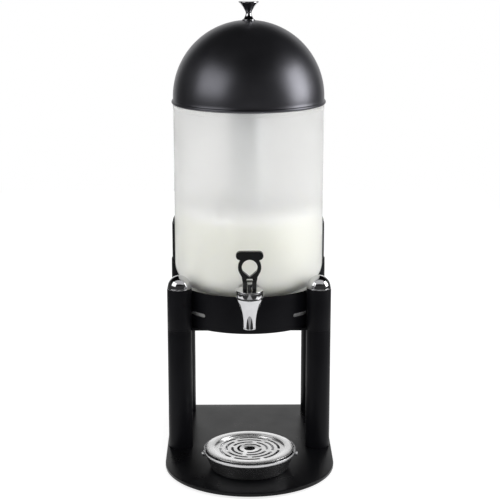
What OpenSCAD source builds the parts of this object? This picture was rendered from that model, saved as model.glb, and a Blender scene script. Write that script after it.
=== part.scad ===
// Countertop juice dispenser: four-post stand, frosted container with ice tube,
// domed lid, lever tap and drip tray. Millimetres, Z up, origin under the middle of the outline.

/* [Container] */
// Outer diameter of the container
container_d = 201; // [180:1:220]
// Wall thickness of the container
container_wall = 3; // [2:0.5:4]
// Outer radius of the rounded bottom edge
container_corner = 33; // [28:1:40]
// Height from the bottom to the rim
container_h = 255.6; // [220:0.1:320]
// How much slimmer the neck inside the lid is, on the radius
neck_step = 1.7; // [0.5:0.1:2]
// Height of the neck
neck_h = 7.5; // [7:0.5:16]
// Height of each grip ridge below the neck
ridge_h = 1.2; // [0.8:0.1:2]
// How far a ridge stands out
ridge_out = 0.5; // [0.3:0.1:0.8]
// Radius of the flat boss that the tap is clamped to
boss_r = 14.4; // [13:0.1:14.4]
// How far the boss face stands out from the container wall
boss_out = 1.5; // [1:0.5:3]
// How far the boss's inner face lies out from the start of the bottom's curve
nut_land = 6.5; // [6:0.5:9]

/* [Ice tube] */
// Outer diameter of the ice tube
ice_d = 51; // [40:1:60]
// Wall thickness of the ice tube
ice_wall = 1; // [0.8:0.1:2]
// Height of the ice tube
ice_h = 250; // [200:1:252]
// Height of the socket ring that holds its foot
socket_h = 8; // [5:1:15]
// Wall of the socket ring
socket_wall = 2.5; // [2:0.5:4]
// Clearance round the tube's foot, on the radius
socket_clear = 0.3; // [0.3:0.1:0.8]
// Height of the cap's disc
ice_cap_t = 3; // [2:0.5:5]
// Depth of the cap's plug
ice_cap_plug = 8; // [5:1:15]
// Diameter of the cap's grip
ice_cap_grip_d = 16; // [12:1:24]
// Height of the cap's grip
ice_cap_grip_h = 10; // [6:1:16]

/* [Lid] */
// Wall of the lid
lid_wall = 1.2; // [0.8:0.1:2]
// Clearance between the lid and the neck, on the radius
lid_clear = 1; // [0.5:0.1:2]
// How far the lid reaches down over the rim
lid_overlap = 6; // [4:0.5:6.5]
// Height of the rolled bead round the lid's edge
bead_h = 5; // [3:0.5:7]
// How far the bead stands out
bead_out = 2; // [1:0.5:3]
// Thickness of the gasket ring
gasket_t = 2.4; // [1.5:0.1:4]
// Width of the gasket ring
gasket_w = 4; // [3:0.5:6]
// Height of the knob
knob_h = 25.4; // [18:0.1:30]
// Diameter of the knob's top
knob_top_d = 27; // [20:0.5:34]
// Diameter of the knob's waist
knob_waist_d = 7.6; // [7:0.1:10]
// Diameter of the knob's foot
knob_foot_d = 17; // [14:0.5:20]
// Diameter of the knob's screw
knob_screw_d = 4; // [3:0.5:4.5]

/* [Stand] */
// Outer diameter of the posts
post_d = 32.6; // [26:0.2:38]
// Wall of the post tubes
post_wall = 2; // [1.5:0.1:3]
// Distance of the posts from the middle, sideways
post_x = 92.5; // [86:0.5:98]
// Length of the legs under the carrier plate
leg_l = 163.5; // [120:0.5:220]
// Length of the tubes above the carrier plate
sleeve_l = 55.5; // [50:0.5:80]
// Length of the tubes that make the rear posts taller
extension_l = 57.5; // [30:0.5:100]
// How much slimmer those tubes are, on the radius
extension_step = 1.3; // [1:0.1:2]
// Height of the collars at their foot
collar_h = 6; // [5:0.5:10]
// Wall of those collars
collar_wall = 1.2; // [1:0.1:1.3]
// Diameter of the tie rods inside the posts
rod_d = 8; // [6:0.5:10]
// Thickness of the carrier plate
carrier_t = 3; // [2:0.5:5]
// Diameter of the opening in the carrier plate
carrier_bore_d = 110; // [80:1:120]
// Thickness of the base plate
base_t = 5; // [4.5:0.5:8]
// How far the base stands out beside the posts
base_edge = 2.2; // [1:0.1:8]
// How far the base stands out behind the posts
base_rear_edge = 3.7; // [1:0.1:10]
// How far the middle of the round front lies behind the tap
nose_back = 21; // [0:1:40]
// Height of the rubber feet
foot_h = 3; // [2:0.5:6]
// Diameter of the rubber feet
foot_d = 20; // [14:1:26]
// Distance of the feet from the edge of the base
foot_inset = 18; // [16:1:30]

/* [Ring and seat] */
// Gap between the container and the rear posts
container_clear = 0.4; // [0.4:0.1:3]
// Height of the ring band
ring_h = 50; // [44:0.5:50]
// Wall of the ring band
ring_wall = 2; // [1.5:0.1:3]
// Height of the two slots in the ring band
slot_h = 5.4; // [4:0.2:10]
// Length of the slots
slot_l = 26; // [16:1:32]
// Middle of the slots above the carrier plate
slot_up = 19.5; // [12:0.5:30]
// Angle of the slots from the front
slot_angle = 43; // [40:1:46]
// Height of the support drum
drum_h = 39.5; // [34:0.5:39.5]
// Gap between the drum and the ring band
drum_gap = 2.5; // [1:0.1:5]
// Sheet thickness of the drum
drum_wall = 1.5; // [1:0.1:2.5]
// Diameter of the hole in the drum's top
drum_hole_d = 76; // [60:1:90]
// Width of the drum's bottom flange
drum_flange = 16; // [12:1:24]
// Thickness of the silicone seat pad
pad_t = 2.5; // [1.5:0.1:4]
// Width of the seat pad
pad_w = 18; // [10:1:20]
// Diameter of the drum screws
drum_screw_d = 4; // [3:0.5:5]

/* [Tap] */
// Distance from the container wall to the tap's axis
tap_reach = 45.5; // [42:0.5:60]
// Diameter of the threaded shank
shank_d = 15; // [13:0.1:15.5]
// Diameter of the shank's bore
shank_bore_d = 9; // [6:0.5:10]
// Diameter of the tap's flange
flange_d = 27; // [24:1:44]
// Thickness of the flange
flange_t = 3; // [2:0.5:5]
// Thickness of the two sealing washers
washer_t = 1.5; // [1:0.1:2.5]
// Width of the shank nut across its flats
nut_af = 19; // [18.5:0.1:19.2]
// Thickness of the shank nut
nut_t = 6; // [5:0.5:9]
// Drop from the shank's axis to the spout's end
spout_drop = 35.2; // [30:0.1:50]
// Outer diameter of the spout's end
spout_d = 16.6; // [15:0.2:20]
// Diameter of the outlet
outlet_d = 10.8; // [8:0.2:12]
// Outer diameter of the tap's body under its head
body_d = 33; // [27:0.1:34]
// Outer diameter of the head and the bonnet
bonnet_d = 35; // [32:0.5:40]
// Height of the bonnet
bonnet_h = 8.7; // [6:0.1:12]
// Diameter of the valve chamber
chamber_d = 21; // [19:0.5:22]
// How far the valve seat lies below the shank's axis
seat_drop = 7; // [6:0.5:8]
// Height of the taper under the head of the tap's body
head_taper = 6; // [4:0.5:8]
// Diameter of the valve stem
stem_d = 5.4; // [4.6:0.2:6]
// Height of the lever's pin above the bonnet
pin_up = 4.5; // [4:0.1:8]
// Diameter of the lever's pin
pin_d = 2.6; // [2:0.1:3]
// Travel of the lever in degrees
lever_deg = 35; // [25:1:40]
// Rise of the stem for each radian of lever travel
stem_rise = 5.73; // [4:0.01:6]
// Width of the lever's fork
fork_w = 17.5; // [15:0.5:20]
// Thickness of the lever from front to back
lever_t = 8; // [7:0.5:10]
// Width of the lever's cross bar
bar_w = 35; // [28:1:44]
// Height of the lever's cross bar
bar_h = 11; // [8:0.5:14]
// Outer diameter of the finger ring
loop_d = 29.6; // [28:0.2:34]
// Diameter of the finger ring's opening
loop_hole_d = 20; // [18:0.5:22]
// Height of the finger ring's middle above the pin
loop_up = 25.5; // [24.5:0.5:32]

/* [Drip tray] */
// How far the tray's rim stands out beyond the grate
tray_margin = 3; // [2:0.1:8]
// Play of the grate at the top of the tray's wall, on the radius
tray_play = 0.4; // [0.4:0.1:1.5]
// Diameter of the tray's bottom
tray_floor_d = 100; // [90:1:102]
// Height of the tray
tray_h = 25.2; // [18:0.1:32]
// Sheet thickness of the tray
tray_wall = 1; // [0.8:0.1:1.5]
// Height of the tray's rim
tray_lip_h = 4.1; // [2:0.1:6]
// Thickness of the tray's rolled rim
tray_rim_t = 1.4; // [1:0.1:2]
// How far the tray's two lugs stand out of its rim
lug_out = 2.4; // [1:0.2:8]
// Width and height of those lugs
lug_size = 6.4; // [3:0.2:8]
// Diameter of the grate
grate_d = 114.4; // [100:0.2:120]
// How far the grate's top stands above the top of the tray's rim
grate_rise = 1.5; // [0:0.1:3]
// Sheet thickness of the grate
grate_t = 1.5; // [1:0.1:2.5]
// Diameter of the sunk field with the slots
field_d = 92; // [80:1:94]
// How deep the field is sunk
field_drop = 2.2; // [1.5:0.1:4]
// Width of the grate's slots
grate_slot = 3.4; // [2:0.1:4]
// Number of rings of slots
grate_rings = 4; // [3:1:4]
// Distance between rings of slots
grate_pitch = 7.8; // [6.5:0.1:8.2]
// Turn of the webs from one ring of slots to the next, in degrees
web_turn = 36; // [20:1:60]
// Diameter of the middle hole
grate_hole_d = 14; // [8:1:15]

/* [Fits] */
// Gap under pieces that rest on another and lift off
seat_gap = 0.2; // [0.1:0.1:0.3]
// Gap at faces that touch when the lid is on
lid_rest = 0.3; // [0.2:0.1:0.5]
// Clearance of fixed fits, on the radius
fit = 0.05; // [0.03:0.01:0.1]
// Clearance of running fits, on the radius
run_fit = 0.08; // [0.05:0.01:0.1]
// Clearance beside pieces that pass each other
pass_gap = 0.5; // [0.3:0.1:1]

/* [Hidden] */
$fn = 96;

// Radii that follow the container
container_r = container_d / 2;
neck_r = container_r - neck_step;
ring_r = container_r + container_clear - lid_rest;
post_r = post_d / 2;
extension_r = post_r - extension_step;
post_y = sqrt(pow(ring_r + lid_rest + post_r, 2) - post_x * post_x);
lid_r = neck_r + lid_clear + lid_wall;

// Plan of the base, measured from the container's axis
tap_y = container_r + tap_reach;
nose_y = tap_y - nose_back;
base_w = 2 * (post_x + post_r + base_edge);
base_back = post_y + post_r + base_rear_edge;
base_front = nose_y + base_w / 2;
rear_reach = max(base_back, lid_r + bead_out);
axis_y = (base_front - rear_reach) / 2;

// Heights
base_top = foot_h + base_t;
carrier_z = base_top + leg_l;
carrier_top = carrier_z + carrier_t;
sleeve_top = carrier_top + sleeve_l;
extension_top = sleeve_top + extension_l;
drum_top = carrier_top + drum_h;
container_z = drum_top + pad_t + seat_gap;
container_floor = container_z + container_wall;
container_top = container_z + container_h;
lid_z = container_top - lid_overlap;
lid_skirt = lid_overlap + lid_rest + gasket_t;
dome_z = lid_z + lid_skirt;
dome_r = lid_r;
ice_z = container_floor + lid_rest;
ice_top = ice_z + ice_h;

// Tap heights
nut_r = nut_af / 2 / cos(30);
shank_z = container_floor + nut_r + pass_gap;
spout_z = shank_z - spout_drop;
neck_tube_r = shank_d / 2;
head_z = shank_z + neck_tube_r + 2 * fit;
bonnet_top = head_z + bonnet_h;
pin_z = bonnet_top + pin_up;
seat_z = shank_z - seat_drop;
cup_r = chamber_d / 2 - 2 * pass_gap;
flare_l = head_z - head_taper - spout_z;
boss_face = container_r + boss_out;
inner_face = container_r - container_corner + nut_land;
boss_t = boss_face - inner_face;

// Cap on each post
cap_lip = 1.5;
rod_grip = 10;
plug_t = 8;

module at_axis() { translate([0, axis_y, 0]) children(); }
module at_tap() { translate([0, axis_y - tap_y, 0]) children(); }
// Lays a child that runs along Z onto the shank's axis, starting at a distance from the container's axis
module on_shank(from) {
  translate([0, axis_y - from, shank_z]) rotate([-90, 0, 0]) children();
}
module at_post(side, end) { translate([side * post_x, axis_y + end * post_y, 0]) children(); }
module each_post() {
  for (side = [-1, 1], end = [-1, 1]) at_post(side, end) children();
}
module tube(r, wall, z, h) {
  translate([0, 0, z]) difference() {
    cylinder(r = r, h = h);
    translate([0, 0, -1]) cylinder(r = r - wall, h = h + 2);
  }
}

// Base and posts
module base_plate() {
  color("#1b1b1e") difference() {
    translate([0, 0, foot_h]) linear_extrude(base_t) {
      translate([-base_w / 2, axis_y - nose_y]) square([base_w, nose_y + base_back]);
      translate([0, axis_y - nose_y]) circle(base_w / 2, $fn = 180);
    }
    each_post() {
      translate([0, 0, foot_h - 1]) cylinder(d = rod_d + 4 * fit, h = base_t + 2);
      translate([0, 0, foot_h - 0.01])
        cylinder(r1 = rod_d + 2 * fit, r2 = rod_d / 2 + 2 * fit, h = rod_d / 2);
    }
  }
}
module base_feet() {
  reach = base_w / 2 - foot_inset;
  color("#222222") {
    for (side = [-1, 1]) {
      translate([side * (post_x - post_r - foot_d / 2), axis_y + base_back - foot_inset, 0])
        cylinder(d = foot_d, h = foot_h);
      translate([side * reach * cos(45), axis_y - nose_y - reach * sin(45), 0])
        cylinder(d = foot_d, h = foot_h);
    }
  }
}
module tie_rod(top) {
  translate([0, 0, foot_h]) {
    cylinder(d = rod_d, h = top + rod_grip - foot_h);
    cylinder(r1 = rod_d, r2 = rod_d / 2, h = rod_d / 2);
  }
}
module tie_rods() {
  color("silver") for (side = [-1, 1]) {
    at_post(side, -1) tie_rod(sleeve_top);
    at_post(side, 1) tie_rod(extension_top);
  }
}
module plug(r, z) { tube(r - post_wall - fit, r - post_wall - rod_d / 2 - 2 * fit, z, plug_t); }
module post_plugs() {
  color("#303030") {
    each_post() {
      plug(post_r, base_top);
      plug(post_r, carrier_z - plug_t);
      plug(post_r, carrier_top);
      plug(post_r, sleeve_top - plug_t);
    }
    for (side = [-1, 1]) at_post(side, 1) {
      plug(extension_r, sleeve_top);
      plug(extension_r, extension_top - plug_t);
    }
  }
}
module leg(side, end) { color("#18181b") at_post(side, end) tube(post_r, post_wall, base_top, leg_l); }
module sleeve(side, end) { color("#18181b") at_post(side, end) tube(post_r, post_wall, carrier_top, sleeve_l); }
module extension(side) { color("#18181b") at_post(side, 1) tube(extension_r, post_wall, sleeve_top, extension_l); }
module rear_collars() {
  color("#18181b") for (side = [-1, 1]) at_post(side, 1)
    tube(extension_r + fit + collar_wall, collar_wall, sleeve_top + seat_gap, collar_h);
}
module cap(side, end, r, z) {
  cap_r = r - seat_gap;
  color("#d8d8da") at_post(side, end) translate([0, 0, z]) difference() {
    rotate_extrude() {
      square([r, cap_lip]);
      intersection() {
        translate([0, cap_lip]) circle(cap_r);
        translate([0, cap_lip]) square([cap_r, cap_r]);
      }
    }
    translate([0, 0, -1]) cylinder(d = rod_d + 2 * fit, h = rod_grip + 2);
  }
}
module carrier_plate() {
  edge = post_y + 2;
  color("#1b1b1e") difference() {
    translate([0, 0, carrier_z]) {
      translate([-post_x, axis_y - edge, 0]) cube([2 * post_x, 2 * edge, carrier_t]);
      each_post() cylinder(r = post_r, h = carrier_t);
    }
    at_axis() translate([0, 0, carrier_z - 1]) cylinder(d = carrier_bore_d, h = carrier_t + 2);
    each_post() translate([0, 0, carrier_z - 1]) cylinder(d = rod_d + 4 * fit, h = carrier_t + 2);
    each_drum_screw() translate([0, 0, carrier_z - 1]) cylinder(d = drum_screw_d + 2 * fit, h = carrier_t + 2);
  }
}

// Ring, drum and seat
drum_r = ring_r - ring_wall - drum_gap;
drum_screw_r = drum_r - drum_flange / 2;
module each_drum_screw() {
  for (turn = [0 : 90 : 270])
    at_axis() rotate([0, 0, turn + 45]) translate([drum_screw_r, 0, 0]) children();
}
module ring_slot(side) {
  depth = 4 * ring_wall;
  at_axis() translate([0, 0, carrier_top + slot_up])
    rotate([0, 0, side * slot_angle]) translate([0, -ring_r, 0]) {
      cube([slot_l - slot_h, 2 * depth, slot_h], center = true);
      for (turn = [-1, 1]) translate([turn * (slot_l - slot_h) / 2, 0, 0])
        rotate([90, 0, 0]) cylinder(d = slot_h, h = 2 * depth, center = true);
    }
}
module ring_band() {
  notch_r = boss_r + 4 * pass_gap;
  color("#18181b") difference() {
    at_axis() tube(ring_r, ring_wall, carrier_top, ring_h);
    for (side = [-1, 1]) ring_slot(side);
    on_shank(ring_r + ring_wall) cylinder(r = notch_r, h = 3 * ring_wall + notch_r);
  }
}
module support_drum() {
  color("#b9babc") difference() {
    at_axis() rotate_extrude() {
      translate([drum_r - drum_wall, carrier_top]) square([drum_wall, drum_h]);
      translate([drum_hole_d / 2, drum_top - drum_wall]) square([drum_r - drum_hole_d / 2, drum_wall]);
      translate([drum_r - drum_flange, carrier_top]) square([drum_flange, drum_wall]);
    }
    each_drum_screw() translate([0, 0, carrier_top - 1])
      cylinder(d = drum_screw_d + 2 * fit, h = drum_wall + 2);
  }
}
module drum_screws() {
  head_h = drum_screw_d * 0.6;
  color("silver") each_drum_screw() {
    translate([0, 0, carrier_z - head_h]) cylinder(d = 1.9 * drum_screw_d, h = head_h);
    translate([0, 0, carrier_z]) cylinder(d = drum_screw_d, h = carrier_t + drum_wall + drum_screw_d);
    translate([0, 0, carrier_top + drum_wall])
      cylinder(d = 1.9 * drum_screw_d, h = 0.8 * drum_screw_d, $fn = 6);
  }
}
module seat_pad() {
  color("#c9c9c6") at_axis() tube(drum_hole_d / 2 + pad_w, pad_w, drum_top, pad_t);
}

// Container and ice tube
module round_cup(r, corner, h) {
  translate([0, corner]) square([r, h - corner]);
  square([r - corner, corner]);
  translate([r - corner, corner]) intersection() {
    circle(corner);
    translate([0, -corner]) square([corner, corner]);
  }
}
module container_shell() {
  at_axis() translate([0, 0, container_z]) rotate_extrude($fn = 180) difference() {
    union() {
      round_cup(container_r, container_corner, container_h - neck_h);
      translate([0, container_corner]) square([neck_r, container_h - container_corner]);
      for (step = [1 : 2]) translate([0, container_h - neck_h - 2 * ridge_h * step])
        square([container_r + ridge_out, ridge_h]);
    }
    translate([0, container_wall])
      round_cup(container_r - container_wall, container_corner - container_wall, container_h);
  }
}
module container() {
  color("#e6e8e4") difference() {
    union() {
      container_shell();
      on_shank(boss_face) cylinder(r = boss_r, h = boss_t);
    }
    on_shank(boss_face + 1) cylinder(d = shank_d + 4 * fit, h = boss_t + 10);
  }
}
module tube_socket() {
  socket_r = ice_d / 2 + socket_clear;
  color("#e6e8e4") at_axis() tube(socket_r + socket_wall, socket_wall, container_floor, socket_h);
}
module ice_tube() {
  color("#c6cacc") at_axis() translate([0, 0, ice_z]) difference() {
    cylinder(d = ice_d, h = ice_h);
    translate([0, 0, ice_wall]) cylinder(d = ice_d - 2 * ice_wall, h = ice_h);
  }
}
module ice_tube_cap() {
  color("#2a2a2c") at_axis() translate([0, 0, ice_top + seat_gap]) rotate_extrude() {
    square([ice_d / 2 + 1, ice_cap_t]);
    translate([0, -ice_cap_plug]) square([ice_d / 2 - ice_wall - lid_rest, ice_cap_plug]);
    square([ice_cap_grip_d / 2, ice_cap_t + ice_cap_grip_h]);
  }
}

// Lid
module quarter_disc(r) {
  intersection() {
    circle(r);
    square([r, r]);
  }
}
knob_seat_r = knob_foot_d / 2 + 0.5;
knob_z = dome_z + sqrt(dome_r * dome_r - knob_seat_r * knob_seat_r);
module lid() {
  inner_r = lid_r - lid_wall;
  color("#1c1c1f") at_axis() difference() {
    translate([0, 0, lid_z]) rotate_extrude($fn = 180) {
      difference() {
        union() {
          translate([0, lid_skirt]) quarter_disc(lid_r);
          square([lid_r, lid_skirt]);
          intersection() {
            translate([lid_r, bead_h / 2]) circle(d = bead_h);
            square([lid_r + bead_out, bead_h]);
          }
        }
        translate([0, lid_skirt]) quarter_disc(inner_r);
        translate([0, -1]) square([inner_r, lid_skirt + 1]);
      }
    }
    translate([0, 0, knob_z]) cylinder(r = knob_seat_r, h = lid_wall);
    translate([0, 0, dome_z]) cylinder(d = knob_screw_d + 2 * fit, h = 2 * dome_r);
  }
}
module lid_gasket() {
  outer_r = lid_r - lid_wall - fit;
  color("#d5d5d0") at_axis() tube(outer_r, gasket_w, container_top + lid_rest, gasket_t - fit);
}
module lid_knob() {
  waist_z = knob_h * 0.38;
  rim_h = 2;
  color("#d8d8da") at_axis() translate([0, 0, knob_z]) difference() {
    rotate_extrude() polygon([
      [0, 0], [knob_foot_d / 2, 0], [knob_foot_d / 2, 1], [knob_foot_d / 2 - 1.8, 2.8],
      [knob_waist_d / 2, waist_z], [knob_waist_d / 2, waist_z + 1],
      [knob_top_d / 2 - 1.6, knob_h - rim_h], [knob_top_d / 2, knob_h - 1],
      [knob_top_d / 2, knob_h - 0.5], [knob_top_d / 2 - 0.8, knob_h], [0, knob_h]
    ]);
    translate([0, 0, -1]) cylinder(d = knob_screw_d + 2 * fit, h = waist_z + 1);
  }
}
washer_z = dome_z + sqrt(pow(lid_r - lid_wall, 2) - pow(1.5 * knob_screw_d, 2)) - fit;
module knob_washer() {
  color("silver") at_axis() tube(1.5 * knob_screw_d, knob_screw_d - fit, washer_z - 1, 1);
}
module knob_screw() {
  color("silver") at_axis() {
    translate([0, 0, washer_z - 1 - 0.6 * knob_screw_d]) cylinder(d = 2 * knob_screw_d, h = 0.6 * knob_screw_d);
    translate([0, 0, washer_z - 1]) cylinder(d = knob_screw_d, h = knob_h * 0.3 + 3);
  }
}

// Tap
flare_power = 2.4;
function flare(t) = spout_d / 2 + (body_d - spout_d) / 2 * pow(t, flare_power);
module tap_body() {
  steps = 12;
  outline = [for (i = [0 : steps]) [flare(i / steps), flare_l * i / steps]];
  top = head_z - spout_z;
  color("#d6d6d8") difference() {
    union() {
      at_tap() translate([0, 0, spout_z]) rotate_extrude() polygon(concat(
        [[0, 0]], outline, [[bonnet_d / 2, top - 2], [bonnet_d / 2, top], [0, top]]
      ));
      on_shank(tap_y) cylinder(r = neck_tube_r, h = tap_y - boss_face + boss_t + washer_t + nut_t + 1);
      on_shank(boss_face + washer_t + flange_t) cylinder(d = flange_d, h = flange_t);
    }
    at_tap() {
      translate([0, 0, seat_z]) cylinder(d = chamber_d, h = top);
      translate([0, 0, seat_z - 4]) cylinder(d1 = outlet_d, d2 = chamber_d, h = 4.01);
      translate([0, 0, spout_z - 1]) cylinder(d = outlet_d, h = seat_z - spout_z);
    }
    on_shank(tap_y) cylinder(d = shank_bore_d, h = tap_y);
  }
}
module tap_bonnet() {
  spigot_l = 4;
  lip_h = 2;
  waist = 0.6;
  color("#d6d6d8") at_tap() translate([0, 0, head_z]) difference() {
    union() {
      cylinder(d = bonnet_d - 2 * waist, h = bonnet_h);
      translate([0, 0, bonnet_h - lip_h]) cylinder(d = bonnet_d, h = lip_h);
      translate([0, 0, -spigot_l]) cylinder(d = chamber_d - 2 * fit, h = spigot_l + 1);
    }
    translate([0, 0, -spigot_l - 1]) cylinder(d = stem_d + 2 * run_fit, h = bonnet_h + spigot_l + 2);
  }
}
module outer_washer() {
  color("#dcdcd6") on_shank(boss_face + washer_t)
    tube(boss_r - 1, boss_r - 1 - neck_tube_r - fit, 0, washer_t);
}
module inner_washer() {
  color("#dcdcd6") on_shank(inner_face) tube(nut_r - 0.5, nut_r - 0.5 - neck_tube_r - fit, 0, washer_t);
}
module shank_nut() {
  color("#c9c9cc") on_shank(inner_face - washer_t) difference() {
    cylinder(r = nut_r, h = nut_t, $fn = 6);
    translate([0, 0, -1]) cylinder(r = neck_tube_r + fit, h = nut_t + 2);
  }
}
cup_h = 5;
cup_z = seat_z + lid_rest;
module valve_stem() {
  above = pin_d / 2 + 1.8;
  color("#cfcfd2") at_tap() difference() {
    union() {
      translate([0, 0, cup_z + 1]) cylinder(d = stem_d, h = pin_z + above - cup_z - 1);
      translate([0, 0, cup_z + cup_h]) cylinder(d = stem_d + 4, h = 0.8);
    }
    translate([-stem_d, 0, pin_z]) rotate([0, 90, 0]) cylinder(d = pin_d + 2 * run_fit, h = 2 * stem_d);
  }
}
module seat_cup() {
  color("#e2e2dc") at_tap() difference() {
    union() {
      translate([0, 0, cup_z]) cylinder(r = cup_r, h = cup_h);
      translate([0, 0, cup_z - 3]) cylinder(r1 = outlet_d / 2 + 0.8, r2 = cup_r, h = 3);
    }
    translate([0, 0, cup_z + 1]) cylinder(d = stem_d + 2 * fit, h = cup_h);
  }
}

// Lever: side view of the heel rolls on the bonnet as the lever is pulled forward
heel_h = pin_up - seat_gap;
function heel(a) = let (h = heel_h + stem_rise * a * PI / 180)
  [-h * sin(a) - stem_rise * cos(a), -h * cos(a) + stem_rise * sin(a)];
module fork_side() {
  back = lever_t / 2;
  front = [for (i = [0 : 6]) heel(lever_deg * i / 6)];
  tip = heel(lever_deg);
  polygon(concat([[back, -heel_h]], front, [[tip[0], tip[1] + 2], [-back, 7], [back, 7]]));
}
module lever_front() {
  bar_r = bar_h / 2;
  loop_r = loop_d / 2;
  hole_r = loop_hole_d / 2;
  bar_up = loop_up + hole_r + bar_r - 0.5;
  neck_w = fork_w / 2 + 1.1;
  fork_up = 6;
  neck_up = 10.5;
  neck_end = loop_up - loop_r + 2;
  difference() {
    union() {
      translate([0, loop_up]) circle(loop_r);
      polygon([
        [-fork_w / 2, fork_up], [fork_w / 2, fork_up], [neck_w, neck_up], [neck_w, neck_end],
        [loop_r * cos(30), loop_up - loop_r * sin(30)], [-loop_r * cos(30), loop_up - loop_r * sin(30)],
        [-neck_w, neck_end], [-neck_w, neck_up]
      ]);
      translate([-bar_w / 2 + bar_r, bar_up - bar_r]) square([bar_w - bar_h, bar_h]);
      for (side = [-1, 1]) translate([side * (bar_w / 2 - bar_r), bar_up]) circle(bar_r);
    }
    translate([0, loop_up]) circle(hole_r);
    translate([0, loop_up]) polygon([
      [-hole_r * cos(35), -hole_r * sin(35)], [0, -hole_r / sin(55) - 0.6], [hole_r * cos(35), -hole_r * sin(35)]
    ]);
  }
}
module tap_lever() {
  gap = stem_d / 2 + pass_gap;
  window_w = 8;
  window_h = 3;
  color("#141416") at_tap() translate([0, 0, pin_z]) difference() {
    union() {
      translate([0, lever_t / 2, 0]) rotate([90, 0, 0]) linear_extrude(lever_t) lever_front();
      for (side = [0, 1]) mirror([side, 0, 0]) translate([gap, 0, 0])
        rotate([90, 0, 90]) linear_extrude(fork_w / 2 - gap) fork_side();
    }
    translate([-fork_w, 0, 0]) rotate([0, 90, 0]) cylinder(d = pin_d + 2 * fit, h = 2 * fork_w);
    translate([-gap, -lever_t, 0]) cube([2 * gap, 2 * lever_t, 6.4]);
    translate([-window_w / 2, -lever_t, 7.6]) cube([window_w, 2 * lever_t, window_h]);
  }
}
module lever_pin() {
  color("#cfcfd2") at_tap() translate([-fork_w / 2, 0, pin_z]) rotate([0, 90, 0]) cylinder(d = pin_d, h = fork_w);
}

// Drip tray
tray_z = base_top + seat_gap;
tray_r = grate_d / 2 + tray_margin;
rim_z = tray_h - tray_lip_h;
tray_wall_r = grate_d / 2 + tray_play + tray_wall;
tray_slope = (tray_wall_r - tray_floor_d / 2) / (rim_z - tray_wall);
function tray_inner(z) = tray_floor_d / 2 - tray_wall + tray_slope * (z - tray_wall);
module drip_tray() {
  edge = 0.6;
  rim_inner = tray_r - tray_rim_t;
  color("#bfc0c2") at_tap() translate([0, 0, tray_z]) difference() {
    union() {
      rotate_extrude($fn = 180) polygon([
        [0, 0], [tray_floor_d / 2 - tray_wall, 0], [tray_floor_d / 2, tray_wall], [tray_wall_r, rim_z],
        [tray_r - edge, rim_z], [tray_r, rim_z + edge], [tray_r, tray_h - edge], [tray_r - edge, tray_h],
        [0, tray_h]
      ]);
      for (side = [0, 1]) mirror([side, 0, 0])
        translate([0, -lug_size / 2, rim_z - lug_size]) cube([tray_r + lug_out, lug_size, lug_size]);
    }
    rotate_extrude($fn = 180) polygon([
      [0, tray_wall], [tray_inner(tray_wall), tray_wall], [tray_inner(rim_z), rim_z],
      [tray_inner(rim_z), rim_z + tray_wall], [rim_inner, rim_z + tray_wall], [rim_inner, tray_h + 1],
      [0, tray_h + 1]
    ]);
  }
}
grate_z = tray_z + tray_h + grate_rise - grate_t;
grate_seat = tray_z + tray_wall + (grate_d / 2 + seat_gap - tray_inner(tray_wall)) / tray_slope;
module grate_ring(r, webs, turn) {
  web = 5;
  difference() {
    tube(r + grate_slot / 2, grate_slot, -1, grate_t + 2);
    for (i = [0 : webs - 1]) rotate([0, 0, turn + 360 * i / webs])
      translate([0, -web / 2, -2]) cube([2 * r, web, grate_t + 4]);
  }
}
module drip_grate() {
  field_r = field_d / 2;
  web_start = 90;
  skirt_h = grate_z + grate_t - grate_seat;
  color("#d2d3d5") at_tap() translate([0, 0, grate_z]) {
    rotate_extrude($fn = 180) {
      translate([field_r, 0]) square([grate_d / 2 - field_r, grate_t]);
      translate([field_r, -field_drop]) square([grate_t, field_drop + grate_t]);
      translate([grate_d / 2 - grate_t, grate_t - skirt_h]) square([grate_t, skirt_h]);
    }
    translate([0, 0, -field_drop]) difference() {
      cylinder(r = field_r + grate_t / 2, h = grate_t, $fn = 180);
      translate([0, 0, -1]) cylinder(d = grate_hole_d, h = grate_t + 2);
      for (i = [1 : grate_rings])
        grate_ring(grate_hole_d / 2 + i * grate_pitch, 2 + i, web_start + web_turn * i);
    }
  }
}

base_plate();
base_feet();
tie_rods();
post_plugs();
leg(-1, -1);  // front_left_leg
leg(1, -1);  // front_right_leg
leg(-1, 1);  // rear_left_leg
leg(1, 1);  // rear_right_leg
carrier_plate();
sleeve(-1, -1);  // front_left_sleeve
sleeve(1, -1);  // front_right_sleeve
sleeve(-1, 1);  // rear_left_sleeve
sleeve(1, 1);  // rear_right_sleeve
extension(-1);  // rear_left_extension
extension(1);  // rear_right_extension
rear_collars();
cap(-1, -1, post_r, sleeve_top);  // front_left_cap
cap(1, -1, post_r, sleeve_top);  // front_right_cap
cap(-1, 1, extension_r, extension_top);  // rear_left_cap
cap(1, 1, extension_r, extension_top);  // rear_right_cap
ring_band();
support_drum();
drum_screws();
seat_pad();
container();
tube_socket();
ice_tube();
ice_tube_cap();
lid();
lid_gasket();
lid_knob();
knob_screw();
knob_washer();
tap_body();
tap_bonnet();
shank_nut();
outer_washer();
inner_washer();
valve_stem();
seat_cup();
tap_lever();
lever_pin();
drip_tray();
drip_grate();
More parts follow.
